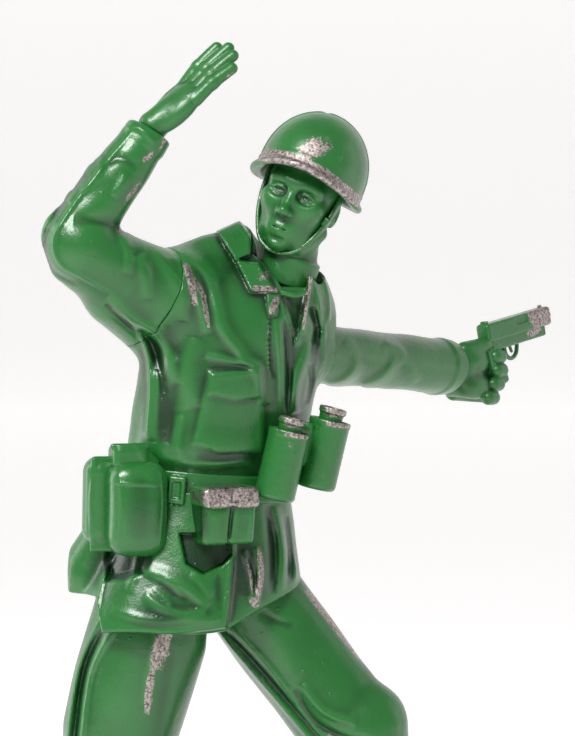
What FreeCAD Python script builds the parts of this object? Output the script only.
import FreeCAD, Part
import os

# Painted cast soldier figure, about 1:18, in millimetres.
# +Z is up, +X runs from the rear foot to the front foot, and the origin is the centre of the base's underside.

Vec = FreeCAD.Vector
doc = FreeCAD.newDocument("soldier_figure")
sheet = doc.addObject("Spreadsheet::Sheet", "dims")

# Driving sizes. Radii and lengths in millimetres.
SIZES = {
    "base_half_long": 34.0, "base_half_wide": 17.0, "base_thick": 2.5, "base_edge": 0.8,
    "boot_peg_radius": 1.2, "boot_peg_deep": 1.5, "boot_sole_thick": 1.4,
    "boot_half_long": 7.4, "boot_half_wide": 2.9, "boot_toe_high": 4.6, "boot_shaft_radius": 2.9,
    "cloth_patch": 0.5, "pocket_patch": 0.7, "belt_patch": 0.9, "shirt_patch": 0.25,
    "belt_high": 3.4, "buckle_wide": 1.8, "buckle_high": 2.8, "buckle_deep": 0.9,
    "swivel_gap": 0.15, "pin_clearance": 0.05, "pin_radius": 0.8, "pin_half": 2.2,
    "wrist_pin_radius": 0.45, "wrist_pin_half": 1.3,
    "barrel_radius": 2.2, "barrel_long": 7.8, "eyecup_radius": 1.45, "eyecup_long": 1.3, "bridge_thick": 1.2,
    "bridge_high": 3.2, "canteen_wide": 7.6, "canteen_high": 11.6, "canteen_front": 3.4, "canteen_back": 2.8,
    "canteen_round": 1.3, "flap_wide": 4.0, "flap_high": 4.2, "pouch_wide": 6.8, "pouch_high": 5.6,
    "pouch_deep": 2.8, "pouch_round": 0.5, "flap_drop": 2.4, "flap_proud": 0.4,
    "skull_wide": 4.1, "skull_long": 4.9, "skull_high": 5.0, "neck_radius": 2.8, "neck_long": 7.0,
    "helmet_wall": 0.7, "strap_thick": 0.5, "strap_radius": 4.9,
    "slide_long": 11.4, "slide_wide": 1.5, "slide_high": 1.7, "grip_long": 5.0, "grip_deep": 2.4, "grip_wide": 1.6, "guard_radius": 1.0, "guard_wire": 0.25,
    "palm_long": 5.4, "palm_wide": 4.4, "palm_thick": 1.6, "finger_long": 5.6, "finger_radius": 0.52,
    "wrist_radius": 1.6, "fist_wide": 5.4, "fist_long": 5.2, "fist_thick": 4.4,
}

# Section stations of each lofted piece: centre x, y, z, then half width and half depth.
STATIONS = {
    "skirt": [(-1.4, 0.0, 60.6, 8.4, 6.6), (-2.0, 0.0, 56.0, 9.8, 7.6), (-2.6, -0.3, 50.5, 11.4, 8.6),
              (-3.4, -0.5, 45.6, 12.8, 9.4)],
    "tunic": [(-1.4, 0.0, 60.6, 8.4, 6.6), (0.0, 0.0, 66.5, 9.0, 6.9), (1.2, 0.0, 72.5, 10.3, 7.4),
              (2.6, 0.2, 77.5, 10.2, 7.0), (4.2, 0.3, 81.0, 8.6, 5.8), (5.6, 0.4, 83.6, 5.6, 4.7)],
    "right_leg": [(-6.0, -2.6, 52.0, 4.6, 4.4), (-7.6, -2.8, 46.0, 6.0, 5.6), (-10.0, -2.6, 37.0, 6.0, 5.6),
                  (-12.6, -2.0, 28.0, 4.9, 4.7), (-14.8, -1.0, 20.5, 4.9, 4.7), (-16.8, 0.0, 13.0, 3.6, 3.5)],
    "left_leg": [(2.4, 2.4, 51.5, 4.8, 4.6), (5.4, 1.9, 46.0, 5.7, 5.4), (11.6, 0.8, 38.0, 5.5, 5.1),
                 (16.6, 0.0, 31.2, 4.9, 4.7), (18.0, -0.3, 22.0, 4.9, 4.7), (18.6, -0.6, 13.0, 3.6, 3.5)],
    "right_upper": [(-7.2, -6.2, 82.2, 5.0, 4.9), (-11.0, -8.8, 84.2, 4.3, 4.2), (-14.4, -11.0, 85.9, 4.0, 3.9)],
    "right_fore": [(-15.2, -11.5, 86.6, 3.9, 3.8), (-12.6, -10.8, 91.0, 3.6, 3.4), (-9.9, -10.0, 95.2, 2.9, 2.7),
                   (-7.8, -9.5, 98.7, 2.4, 2.3)],
    "left_sleeve": [(8.8, 5.6, 74.6, 3.9, 3.8), (13.6, 11.7, 73.8, 3.5, 3.4), (19.6, 19.3, 72.7, 3.3, 3.2),
                    (25.0, 26.1, 71.8, 2.9, 2.8)],
    "helmet": [(8.66, -0.40, 91.70, 7.7, 6.6), (8.82, -0.43, 92.10, 7.4, 6.3), (9.10, -0.50, 92.90, 6.7, 5.9),
               (9.90, -0.62, 95.10, 6.4, 5.7), (10.65, -0.75, 97.30, 5.5, 4.9), (11.22, -0.84, 98.90, 3.8, 3.4),
               (11.52, -0.90, 99.75, 1.6, 1.4)],
    "jaw": [(7.9, -1.3, 91.0, 3.9, 3.6), (7.0, -1.9, 88.6, 3.5, 3.3), (6.1, -2.8, 86.4, 2.0, 1.7)],
}

# Directions: the chest leans 20 degrees and faces forward-right, the head is rolled with the lean.
CHEST_UP = Vec(0.335, 0.02, 0.94)
CHEST_LEFT = Vec(0.788, 0.616, 0.0)
CHEST_FRONT = Vec(0.616, -0.788, 0.0)
WAIST_UP = Vec(0.12, 0.0, 0.99)
HEAD_UP = Vec(0.335, -0.055, 0.94)
HEAD_LEFT = Vec(0.93, -0.16, -0.34)
RIGHT_SHOULDER = Vec(-7.2, -6.2, 82.2)
RIGHT_ELBOW = Vec(-15.4, -11.6, 86.3)
RIGHT_WRIST = Vec(-7.8, -9.5, 98.7)
LEFT_SHOULDER = Vec(8.8, 5.6, 74.6)
LEFT_WRIST = Vec(25.0, 26.1, 71.8)
NECK_FOOT = Vec(6.5, 0.4, 82.2)
HEAD_CENTRE = Vec(8.9, -0.5, 92.6)
RIGHT_ARM = (RIGHT_ELBOW - RIGHT_SHOULDER).normalize()
RIGHT_FOREARM = (RIGHT_WRIST - RIGHT_ELBOW).normalize()
LEFT_ARM = (LEFT_WRIST - LEFT_SHOULDER).normalize()
RIGHT_PALM = Vec(0.69, 0.0, -0.71)
RIGHT_HAND = Vec(0.70, 0.12, 0.70)
PISTOL_AIM = Vec(0.60, 0.78, 0.14)
PISTOL_DOWN = Vec(0.16, 0.05, -0.985)


def fill_sheet():
    """Write every driving size to the sheet, with its alias."""
    rows = dict(SIZES)
    for piece, stations in STATIONS.items():
        for number, station in enumerate(stations):
            rows[f"{piece}_wide_{number}"] = station[3]
            rows[f"{piece}_deep_{number}"] = station[4]
    for number, (alias, value) in enumerate(rows.items(), start=1):
        sheet.set(f"A{number}", alias)
        sheet.set(f"B{number}", str(value))
        sheet.setAlias(f"B{number}", alias)
    doc.recompute()


def bind(shape, **sizes):
    """Bind properties of an object to expressions on the sheet's aliases."""
    for prop, expression in sizes.items():
        shape.setExpression(prop, expression)
    return shape


def turned(up, side):
    """Rotation whose Z is up and whose X is as near to side as it can be."""
    axis_z = Vec(up).normalize()
    axis_y = axis_z.cross(side).normalize()
    axis_x = axis_y.cross(axis_z)
    return FreeCAD.Rotation(axis_x, axis_y, axis_z, "ZXY")


def place(shape, at, up=Vec(0, 0, 1), side=Vec(1, 0, 0)):
    shape.Placement = FreeCAD.Placement(at, turned(up, side))
    return shape


def box(name, centre, up, side, wide, deep, high):
    """Box about a centre: wide along side, high along up."""
    body = bind(doc.addObject("Part::Box", name), Length=wide, Width=deep, Height=high)
    doc.recompute()
    rotation = turned(up, side)
    corner = Vec(body.Length.Value / 2, body.Width.Value / 2, body.Height.Value / 2)
    body.Placement = FreeCAD.Placement(centre - rotation.multVec(corner), rotation)
    return body


def cylinder(name, foot, along, radius, height):
    return place(bind(doc.addObject("Part::Cylinder", name), Radius=radius, Height=height), foot, along)


def cone(name, foot, along, radius_foot, radius_top, height):
    body = bind(doc.addObject("Part::Cone", name), Radius1=radius_foot, Radius2=radius_top, Height=height)
    return place(body, foot, along)


def sphere(name, centre, radius):
    return place(bind(doc.addObject("Part::Sphere", name), Radius=radius), centre)


def ellipsoid(name, centre, up, side, wide, deep, high):
    body = bind(doc.addObject("Part::Ellipsoid", name), Radius1=high, Radius2=wide, Radius3=deep)
    return place(body, centre, up, side)


def cut(name, base, tool):
    result = doc.addObject("Part::Cut", name)
    result.Base = base
    result.Tool = tool
    return result


def less(name, base, tools):
    """Cut several tools from a body one after another."""
    body = base
    for number, tool in enumerate(tools[:-1]):
        body = cut(f"{name}_less_{number}", body, tool)
    return cut(name, body, tools[-1])


def common(name, base, tool):
    result = doc.addObject("Part::Common", name)
    result.Base = base
    result.Tool = tool
    return result


def fuse(name, shapes):
    result = doc.addObject("Part::MultiFuse", name)
    result.Shapes = shapes
    return result


def loft(name, piece, side, up=None, extra="0"):
    """Solid through a piece's stations, each an ellipse that grows by extra over the sheet's sizes."""
    stations = STATIONS[piece]
    points = [Vec(*station[:3]) for station in stations]
    sections = []
    for number, point in enumerate(points):
        before = points[max(number - 1, 0)]
        after = points[min(number + 1, len(points) - 1)]
        normal = up[number] if up else after - before
        ring = bind(doc.addObject("Part::Ellipse", f"{name}_ring_{number}"),
                    MajorRadius=f"dims.{piece}_wide_{number} + {extra}",
                    MinorRadius=f"dims.{piece}_deep_{number} + {extra}")
        sections.append(place(ring, point, normal, side))
    body = doc.addObject("Part::Loft", name)
    body.Sections = sections
    body.Solid = True
    return body


def swivel_pin(name, centre, along, radius, half):
    """Dowel across a joint, and the bore that it turns in on the moving side."""
    foot = centre - along * SIZES[half]
    pin = cylinder(name, foot, along, f"dims.{radius}", f"2 * dims.{half}")
    bore = cylinder(name + "_bore", foot, along, f"dims.{radius} + dims.pin_clearance",
                    f"2 * dims.{half} + dims.swivel_gap")
    socket = cylinder(name + "_socket", foot, along, f"dims.{radius}", f"2 * dims.{half}")
    return pin, bore, socket


def patch(name, skin, under, centre, up, side, sizes):
    """Cloth patch that lies on the tunic: a box's share of the skin, without what is under it."""
    window = box(name + "_window", centre, up, side, *sizes)
    return less(name, common(name + "_share", skin, window), under)


def outside_of(name, body, at, along, radius):
    """Leave out what lies past a joint's plane within a radius."""
    return cut(name, body, cylinder(name + "_past", at, along, radius, "40"))


fill_sheet()

# Legs and boots on the oval base.
base_plan = place(bind(doc.addObject("Part::Ellipse", "base_plan"), MajorRadius="dims.base_half_long",
                       MinorRadius="dims.base_half_wide"), Vec(0, 0, 0))
base_top_plan = place(bind(doc.addObject("Part::Ellipse", "base_top_plan"),
                           MajorRadius="dims.base_half_long - dims.base_edge",
                           MinorRadius="dims.base_half_wide - dims.base_edge"), Vec(0, 0, SIZES["base_thick"]))
base_plate = doc.addObject("Part::Loft", "base_plate")
base_plate.Sections = [base_plan, base_top_plan]
base_plate.Solid = True

right_leg = loft("right_leg", "right_leg", Vec(1, 0, 0))
left_leg_full = loft("left_leg_full", "left_leg", Vec(1, 0, 0))
left_leg = cut("left_leg", left_leg_full, right_leg)


def boot(side, toe, leg_stations):
    """Boot with sole, foot, shaft up to the trouser leg and a peg into the base."""
    top = Vec(*leg_stations[-1][:3])
    under = Vec(*leg_stations[-2][:3])
    down = (top - under).normalize()
    heel = Vec(top.x + down.x * 2.0, top.y + down.y * 2.0, SIZES["base_thick"])
    middle = heel + toe * 3.6
    plan = place(bind(doc.addObject("Part::Ellipse", side + "_sole_plan"), MajorRadius="dims.boot_half_long",
                      MinorRadius="dims.boot_half_wide"), middle, Vec(0, 0, 1), toe)
    sole = doc.addObject("Part::Extrusion", side + "_sole")
    sole.Base = plan
    sole.DirMode = "Custom"
    sole.Dir = Vec(0, 0, 1)
    sole.Solid = True
    bind(sole, LengthFwd="dims.boot_sole_thick")
    foot = ellipsoid(side + "_foot", middle + Vec(0, 0, SIZES["boot_sole_thick"]), Vec(0, 0, 1), toe,
                     "dims.boot_half_long - 0.3", "dims.boot_half_wide - 0.2", "dims.boot_toe_high - 0.4")
    below = box(side + "_below", middle - Vec(0, 0, 10 - SIZES["boot_sole_thick"]), Vec(0, 0, 1), toe,
                "40", "40", "20")
    upper = cut(side + "_upper", foot, below)
    ankle = heel + Vec(0, 0, SIZES["boot_sole_thick"] + 0.4)
    shaft = cone(side + "_shaft", ankle, top - ankle, "dims.boot_shaft_radius - 0.1", "dims.boot_shaft_radius",
                 str((top - ankle).Length))
    peg = cylinder(side + "_peg", middle - Vec(0, 0, SIZES["boot_peg_deep"]), Vec(0, 0, 1),
                   "dims.boot_peg_radius", "dims.boot_peg_deep + 1")
    hole = cylinder(side + "_hole", middle - Vec(0, 0, SIZES["boot_peg_deep"]), Vec(0, 0, 1),
                    "dims.boot_peg_radius", "dims.boot_peg_deep + 1")
    leg = right_leg if side == "right_boot" else left_leg
    return cut(side, fuse(side + "_whole", [sole, upper, shaft, peg]), leg), hole


right_boot, right_hole = boot("right_boot", Vec(0.25, -0.968, 0.0), STATIONS["right_leg"])
left_boot, left_hole = boot("left_boot", Vec(0.80, -0.60, 0.0), STATIONS["left_leg"])
base = cut("base", base_plate, fuse("boot_holes", [right_hole, left_hole]))

# Tunic: one skin for the body, larger ones for what lies on it.
chest_ups = [WAIST_UP, Vec(0.2, 0, 0.98), Vec(0.27, 0.01, 0.96), CHEST_UP, CHEST_UP, CHEST_UP]
skirt_ups = [WAIST_UP, Vec(0.1, 0, 0.99), Vec(0.05, 0, 1), Vec(0, 0, 1)]
torso_core = loft("torso_core", "tunic", CHEST_LEFT, chest_ups)
patch_skin = loft("patch_skin", "tunic", CHEST_LEFT, chest_ups, "dims.cloth_patch")
pocket_skin = loft("pocket_skin", "tunic", CHEST_LEFT, chest_ups, "dims.pocket_patch")
shirt_skin = loft("shirt_skin", "tunic", CHEST_LEFT, chest_ups, "dims.shirt_patch")
belt_skin = loft("belt_skin", "tunic", CHEST_LEFT, chest_ups, "dims.belt_patch")
skirt_core = loft("skirt_core", "skirt", CHEST_LEFT, skirt_ups)
skirt_skin = loft("skirt_skin", "skirt", CHEST_LEFT, skirt_ups, "dims.pocket_patch")
skirt_belt_skin = loft("skirt_belt_skin", "skirt", CHEST_LEFT, skirt_ups, "dims.belt_patch")
tunic_skirt = cut("tunic_skirt", skirt_core, fuse("both_legs", [right_leg, left_leg_full]))

# Shoulder stubs end at the joint planes, and the arms start a gap past them.
right_stub = cone("right_stub", RIGHT_SHOULDER - RIGHT_ARM * 5.0, RIGHT_ARM, "5.6", "5.0", "5")
left_stub = cone("left_stub", LEFT_SHOULDER - LEFT_ARM * 5.0, LEFT_ARM, "4.6", "3.9", "5")
torso_whole = fuse("torso_whole", [torso_core, right_stub, left_stub])
torso_trim = outside_of("torso_trim", torso_whole, RIGHT_SHOULDER, RIGHT_ARM, "5.6")
torso_open = outside_of("torso_open", torso_trim, LEFT_SHOULDER, LEFT_ARM, "4.6")
neck_axis = Vec(HEAD_UP).normalize()
neck_well = cylinder("neck_well", NECK_FOOT, neck_axis, "dims.neck_radius + 0.6", "12")
neck_pin, neck_bore, neck_socket = swivel_pin("neck_pin", NECK_FOOT, neck_axis, "pin_radius", "pin_half")
right_shoulder_pin, right_shoulder_bore, right_shoulder_socket = swivel_pin(
    "right_shoulder_pin", RIGHT_SHOULDER, RIGHT_ARM, "pin_radius", "pin_half")
left_shoulder_pin, left_shoulder_bore, left_shoulder_socket = swivel_pin(
    "left_shoulder_pin", LEFT_SHOULDER, LEFT_ARM, "pin_radius", "pin_half")
torso_wells = fuse("torso_wells", [neck_well, neck_socket, right_shoulder_socket, left_shoulder_socket])
tunic_body = cut("tunic_body", torso_open, torso_wells)

# Belt round the waist, above and below the joint of tunic and skirt, with its buckle on the right front.
BELT_CENTRE = Vec(-1.5, 0.0, 60.3)
belt_window = box("belt_window", BELT_CENTRE, WAIST_UP, CHEST_LEFT, "40", "40", "dims.belt_high")
belt_upper = cut("belt_upper", common("belt_upper_share", belt_skin, belt_window), torso_core)
belt_lower = cut("belt_lower", common("belt_lower_share", skirt_belt_skin, belt_window), skirt_core)
belt_ring = fuse("belt_ring", [belt_upper, belt_lower])
BUCKLE_CENTRE = Vec(-5.3, -8.25, 60.4)
BUCKLE_SIDE = Vec(0.98, -0.19, 0.0)
buckle_block = box("buckle_block", BUCKLE_CENTRE, WAIST_UP, BUCKLE_SIDE, "dims.buckle_wide", "dims.buckle_deep",
                   "dims.buckle_high")
hip_parts = [belt_ring, torso_core, skirt_core]
belt_buckle = less("belt_buckle", buckle_block, hip_parts)

# Canteen in its cover: front half, back half and closing flap, on the right hip.
CANTEEN_FACE = Vec(0.30, -0.954, 0.0)
CANTEEN_SIDE = Vec(0.954, 0.30, 0.0)
CANTEEN_UP = Vec(0.03, 0.0, 1.0)
CANTEEN_CENTRE = Vec(-10.9, -8.6, 59.4)


def rounded(name, block, radius):
    """Round every edge of a box."""
    doc.recompute()
    result = doc.addObject("Part::Fillet", name)
    result.Base = block
    result.Edges = [(number, radius, radius) for number in range(1, len(block.Shape.Edges) + 1)]
    return result


canteen_block = box("canteen_block", CANTEEN_CENTRE, CANTEEN_UP, CANTEEN_SIDE, "dims.canteen_wide",
                    "dims.canteen_front + dims.canteen_back", "dims.canteen_high")
canteen_whole = rounded("canteen_whole", canteen_block, SIZES["canteen_round"])
seam_shift = (SIZES["canteen_front"] - SIZES["canteen_back"]) / 2
front_window = box("front_window", CANTEEN_CENTRE + CANTEEN_FACE * (10.0 - seam_shift), CANTEEN_UP,
                   CANTEEN_SIDE, "20", "20", "20")
canteen_front_full = common("canteen_front_full", canteen_whole, front_window)
canteen_back_full = cut("canteen_back_full", canteen_whole, front_window)
canteen_cover_front = less("canteen_cover_front", canteen_front_full, hip_parts)
canteen_cover_back = less("canteen_cover_back", canteen_back_full, hip_parts)
flap_block = box("flap_block", CANTEEN_CENTRE + CANTEEN_FACE * 1.2 + Vec(0, 0, 6.2), CANTEEN_UP,
                 CANTEEN_SIDE, "dims.flap_wide", "dims.canteen_front + 2.2", "dims.flap_high")
flap_round = rounded("flap_round", flap_block, 0.8)
canteen_flap = less("canteen_flap", flap_round, [canteen_whole] + hip_parts)

# Double magazine pouch on the front of the belt.
POUCH_FACE = Vec(0.42, -0.907, 0.0)
POUCH_SIDE = Vec(0.907, 0.42, 0.0)
POUCH_CENTRE = Vec(-0.2, -8.9, 58.0)
pouch_block = box("pouch_block", POUCH_CENTRE, Vec(0, 0, 1), POUCH_SIDE, "dims.pouch_wide", "dims.pouch_deep",
                  "dims.pouch_high")
pouch_round = rounded("pouch_round", pouch_block, SIZES["pouch_round"])
magazine_pouch = less("magazine_pouch", pouch_round, hip_parts)
pouch_flap_block = box("pouch_flap_block", POUCH_CENTRE + Vec(0, 0, 2.0), Vec(0, 0, 1), POUCH_SIDE,
                       "dims.pouch_wide + 2 * dims.flap_proud", "dims.pouch_deep + 2 * dims.flap_proud",
                       "dims.flap_drop")
pouch_flap = less("pouch_flap", pouch_flap_block, [pouch_round] + hip_parts)

# Patches: pockets, placket, lapels and undershirt.
torso_parts = [torso_whole, belt_ring]
right_breast_pocket = patch("right_breast_pocket", pocket_skin, torso_parts,
                            Vec(1.0, 0.0, 69.6) + CHEST_FRONT * 7.0 - CHEST_LEFT * 4.4, CHEST_UP, CHEST_LEFT,
                            ["5.6", "8", "7.6"])
left_breast_pocket = patch("left_breast_pocket", pocket_skin, torso_parts,
                           Vec(1.0, 0.0, 69.6) + CHEST_FRONT * 7.0 + CHEST_LEFT * 4.8, CHEST_UP, CHEST_LEFT,
                           ["5.2", "8", "7.6"])
front_placket = patch("front_placket", patch_skin, torso_parts, Vec(0.4, 0.0, 69.0) + CHEST_FRONT * 7.0,
                      CHEST_UP, CHEST_LEFT, ["2.0", "8", "12"])
right_lapel = patch("right_lapel", patch_skin, torso_parts,
                    Vec(3.4, 0.0, 79.0) + CHEST_FRONT * 6.0 - CHEST_LEFT * 2.6, CHEST_UP, CHEST_LEFT,
                    ["2.8", "8", "6.6"])
left_lapel = patch("left_lapel", patch_skin, torso_parts,
                   Vec(3.4, 0.0, 79.0) + CHEST_FRONT * 6.0 + CHEST_LEFT * 2.6, CHEST_UP, CHEST_LEFT,
                   ["2.8", "8", "6.6"])
undershirt = patch("undershirt", shirt_skin, [torso_whole, neck_well],
                   Vec(3.4, 0.0, 79.6) + CHEST_FRONT * 6.0, CHEST_UP, CHEST_LEFT, ["1.7", "8", "5"])
skirt_parts = [skirt_core, belt_ring, right_leg, left_leg_full]
right_hip_pocket = patch("right_hip_pocket", skirt_skin, skirt_parts,
                         Vec(-3.0, 0.0, 50.4) + CHEST_FRONT * 8.6 - CHEST_LEFT * 5.6, Vec(0, 0, 1), CHEST_LEFT,
                         ["7", "9", "5.2"])
left_hip_pocket = patch("left_hip_pocket", skirt_skin, skirt_parts,
                        Vec(-3.0, 0.0, 51.0) + CHEST_FRONT * 8.0 + CHEST_LEFT * 7.4, Vec(0, 0, 1), CHEST_LEFT,
                        ["6", "9", "6.4"])

# Collar: an open ring round the neck, clear of the turning neck.
COLLAR_FOOT = NECK_FOOT + neck_axis * 0.2
collar_outer = cone("collar_outer", COLLAR_FOOT, neck_axis, "dims.neck_radius + 2.1", "dims.neck_radius + 1.2",
                    "3.2")
collar_front = box("collar_front", COLLAR_FOOT + CHEST_FRONT * 5.0, neck_axis, CHEST_LEFT, "3.4", "8", "12")
collar = less("collar", collar_outer,
              [neck_well, collar_front, torso_whole, right_lapel, left_lapel, undershirt])

# Binoculars on the chest: two barrels, two eyecups and the bridge.
GLASS_UP = Vec(0.23, 0.0, 0.973)
BARREL_FEET = {"right": Vec(5.3, -6.6, 59.9), "left": Vec(9.6, -3.2, 60.5)}
barrel_pieces = {}
for side, foot in BARREL_FEET.items():
    axis = Vec(GLASS_UP).normalize()
    tube = cylinder(f"{side}_tube", foot, axis, "dims.barrel_radius", "dims.barrel_long")
    barrel_pieces[side] = less(f"{side}_barrel", tube, hip_parts + [pocket_skin])
    top = foot + axis * SIZES["barrel_long"]
    cup = cylinder(f"{side}_cup", top, axis, "dims.eyecup_radius", "dims.eyecup_long")
    barrel_pieces[side + "_cup"] = cut(f"{side}_eyecup", cup, pocket_skin)
bridge_middle = (BARREL_FEET["right"] + BARREL_FEET["left"]) * 0.5 + Vec(GLASS_UP).normalize() * 4.8
bridge_block = box("bridge_block", bridge_middle, GLASS_UP, BARREL_FEET["left"] - BARREL_FEET["right"], "5",
                   "dims.bridge_thick", "dims.bridge_high")
binocular_bridge = less("binocular_bridge", bridge_block,
                        [barrel_pieces["right"], barrel_pieces["left"], pocket_skin])

# Head with neck, helmet shell and chin strap, all on the neck swivel.
skull = ellipsoid("skull", HEAD_CENTRE, HEAD_UP, HEAD_LEFT, "dims.skull_wide", "dims.skull_long",
                  "dims.skull_high")
jaw = loft("jaw", "jaw", HEAD_LEFT)
neck = cylinder("neck", NECK_FOOT + neck_axis * SIZES["swivel_gap"], neck_axis, "dims.neck_radius",
                "dims.neck_long")
nose = cone("nose", Vec(7.1, -4.9, 90.9), Vec(-0.05, -0.35, -1), "0.35", "0.8", "1.7")
head_whole = fuse("head_whole", [skull, jaw, neck, nose])
head = cut("head", head_whole, neck_bore)
helmet_ups = [HEAD_UP] * len(STATIONS["helmet"])
helmet_outer = loft("helmet_outer", "helmet", Vec(0.17, 0.98, 0.0), helmet_ups)
helmet_hollow = ellipsoid("helmet_hollow", HEAD_CENTRE + neck_axis * 0.6, HEAD_UP, HEAD_LEFT, "5.0", "5.7", "5.9")
helmet = less("helmet", helmet_outer, [helmet_hollow, head_whole])
HEAD_BACK = HEAD_UP.cross(HEAD_LEFT).normalize()
strap_loop = bind(doc.addObject("Part::Torus", "strap_loop"), Radius1="dims.strap_radius",
                  Radius2="dims.strap_thick / 2")
strap_loop.Angle3 = 180
place(strap_loop, Vec(8.5, -0.4, 91.4) - HEAD_BACK * 1.5, HEAD_BACK, HEAD_LEFT)
chin_strap = cut("chin_strap", strap_loop, head_whole)

# Right arm: bent sleeve, then the open hand.
right_upper = loft("right_upper", "right_upper", Vec(0, 0, 1), [RIGHT_ARM] * 3)
right_fore = loft("right_fore", "right_fore", Vec(0, 1, 0), [RIGHT_FOREARM] * 4)
right_elbow = sphere("right_elbow", RIGHT_ELBOW, "4")
right_sleeve_whole = fuse("right_sleeve_whole", [right_upper, right_fore, right_elbow])
right_gap = cylinder("right_gap", RIGHT_SHOULDER - RIGHT_ARM * 8, RIGHT_ARM, "8", "8 + dims.swivel_gap")
right_wrist_pin, right_wrist_bore, right_wrist_socket = swivel_pin(
    "right_wrist_pin", RIGHT_WRIST, RIGHT_FOREARM, "wrist_pin_radius", "wrist_pin_half")
right_sleeve = cut("right_sleeve", right_sleeve_whole,
                   fuse("right_sleeve_less", [right_gap, right_shoulder_bore, right_wrist_socket]))


def right_hand_shape():
    """Flat palm, four fingers and a thumb on a round wrist."""
    along = Vec(RIGHT_HAND).normalize()
    palm_normal = Vec(RIGHT_PALM)
    across = along.cross(palm_normal).normalize()
    wrist = cylinder("right_hand_wrist", RIGHT_WRIST + RIGHT_FOREARM * SIZES["swivel_gap"], RIGHT_FOREARM,
                     "dims.wrist_radius", "1.8")
    palm = box("right_palm", RIGHT_WRIST + RIGHT_FOREARM * 0.9 + along * 3.2, along, across, "dims.palm_wide",
               "dims.palm_thick", "dims.palm_long")
    pieces = [wrist, rounded("right_palm_round", palm, 0.6)]
    root = RIGHT_WRIST + RIGHT_FOREARM * 0.9 + along * 5.2
    for number, share in enumerate([0.86, 1.0, 0.96, 0.78]):
        offset = across * (1.65 - number * 1.1)
        pieces.append(cone(f"right_finger_{number}", root + offset, along, "dims.finger_radius",
                           "dims.finger_radius - 0.12", f"dims.finger_long * {share} + 0.5"))
    thumb_root = RIGHT_WRIST + RIGHT_FOREARM * 0.9 + along * 1.8 + across * 1.6
    thumb_along = (along + across * 0.35 + palm_normal * 0.3).normalize()
    pieces.append(cylinder("right_thumb", thumb_root, thumb_along, "0.7", "4.4"))
    return fuse("right_hand_whole", pieces)


right_hand = cut("right_hand", right_hand_shape(), right_wrist_bore)

# Left arm: straight sleeve, fist and pistol.
left_sleeve_whole = loft("left_sleeve_whole", "left_sleeve", Vec(0, 0, 1), [LEFT_ARM] * 4)
left_gap = cylinder("left_gap", LEFT_SHOULDER - LEFT_ARM * 8, LEFT_ARM, "8", "8 + dims.swivel_gap")
left_wrist_pin, left_wrist_bore, left_wrist_socket = swivel_pin(
    "left_wrist_pin", LEFT_WRIST, LEFT_ARM, "wrist_pin_radius", "wrist_pin_half")
left_sleeve = cut("left_sleeve", left_sleeve_whole,
                  fuse("left_sleeve_less", [left_gap, left_shoulder_bore, left_wrist_socket]))
FIST_CENTRE = Vec(28.6, 29.6, 71.4)
pistol_side = Vec(PISTOL_AIM).cross(Vec(PISTOL_DOWN)).normalize()
SLIDE_CENTRE = Vec(32.7, 33.5, 76.4)
slide_block = box("slide_block", SLIDE_CENTRE, PISTOL_DOWN, PISTOL_AIM, "dims.slide_long", "dims.slide_wide",
                  "dims.slide_high")
pistol_slide = rounded("pistol_slide", slide_block, 0.3)
frame_rail = box("frame_rail", SLIDE_CENTRE + Vec(PISTOL_DOWN) * 1.2 - Vec(PISTOL_AIM) * 0.9, PISTOL_DOWN,
                 PISTOL_AIM, "9", "dims.slide_wide - 0.2", "0.9")
grip = box("grip", SLIDE_CENTRE + Vec(PISTOL_DOWN) * 3.4 - Vec(PISTOL_AIM) * 4.0, PISTOL_DOWN, PISTOL_AIM,
           "dims.grip_deep", "dims.grip_wide", "dims.grip_long")
guard_ring = doc.addObject("Part::Torus", "guard_ring")
bind(guard_ring, Radius1="dims.guard_radius", Radius2="dims.guard_wire")
place(guard_ring, SLIDE_CENTRE + Vec(PISTOL_DOWN) * 2.3 - Vec(PISTOL_AIM) * 1.8, pistol_side)
pistol_frame = cut("pistol_frame", fuse("pistol_frame_whole", [frame_rail, grip, guard_ring]), pistol_slide)
fist = ellipsoid("fist", FIST_CENTRE, LEFT_ARM, Vec(0, 0, 1), "dims.fist_wide / 2", "dims.fist_thick / 2",
                 "dims.fist_long / 2")
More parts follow.
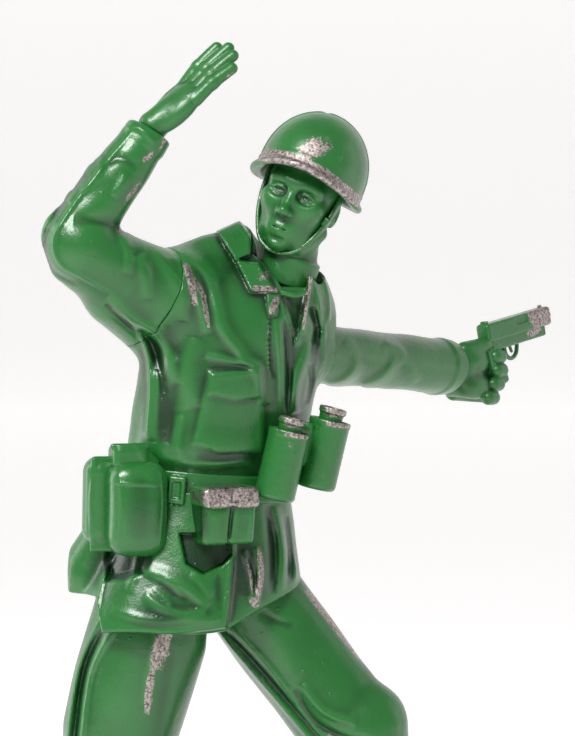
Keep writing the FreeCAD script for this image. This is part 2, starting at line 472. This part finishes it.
fist_wrist = cylinder("fist_wrist", LEFT_WRIST + LEFT_ARM * SIZES["swivel_gap"], LEFT_ARM, "2.0", "3")
left_hand = cut("left_hand", fuse("left_hand_whole", [fist, fist_wrist]),
                fuse("left_hand_less", [pistol_frame, pistol_slide, left_wrist_bore]))

NODES = {
    "base": base, "right_boot": right_boot, "left_boot": left_boot, "right_leg": right_leg, "left_leg": left_leg,
    "tunic_skirt": tunic_skirt, "tunic_body": tunic_body, "belt": belt_ring, "belt_buckle": belt_buckle,
    "canteen_cover_front": canteen_cover_front, "canteen_cover_back": canteen_cover_back,
    "canteen_flap": canteen_flap, "magazine_pouch": magazine_pouch, "pouch_flap": pouch_flap,
    "right_breast_pocket": right_breast_pocket, "left_breast_pocket": left_breast_pocket,
    "right_hip_pocket": right_hip_pocket, "left_hip_pocket": left_hip_pocket, "front_placket": front_placket,
    "right_lapel": right_lapel, "left_lapel": left_lapel, "undershirt": undershirt, "collar": collar,
    "right_barrel": barrel_pieces["right"], "left_barrel": barrel_pieces["left"],
    "right_eyecup": barrel_pieces["right_cup"], "left_eyecup": barrel_pieces["left_cup"],
    "binocular_bridge": binocular_bridge, "neck_pin": neck_pin, "right_shoulder_pin": right_shoulder_pin,
    "left_shoulder_pin": left_shoulder_pin, "right_wrist_pin": right_wrist_pin,
    "left_wrist_pin": left_wrist_pin, "head": head, "helmet": helmet, "chin_strap": chin_strap,
    "right_sleeve": right_sleeve, "right_hand": right_hand, "left_sleeve": left_sleeve, "left_hand": left_hand,
    "pistol_slide": pistol_slide, "pistol_frame": pistol_frame,
}

doc.recompute()
for item in doc.Objects:
    if "Invalid" in item.State or "Error" in item.State:
        raise RuntimeError(f"{item.Name} failed: {item.State}")
os.makedirs("parts", exist_ok=True)
for node, piece in NODES.items():
    piece.Label = node
    if piece.Shape.isNull() or not piece.Shape.isValid():
        raise RuntimeError(f"{node} has no valid shape")
    piece.Shape.exportStep(f"parts/{node}.step")
    print(node, len(piece.Shape.Solids), round(piece.Shape.Volume, 2))
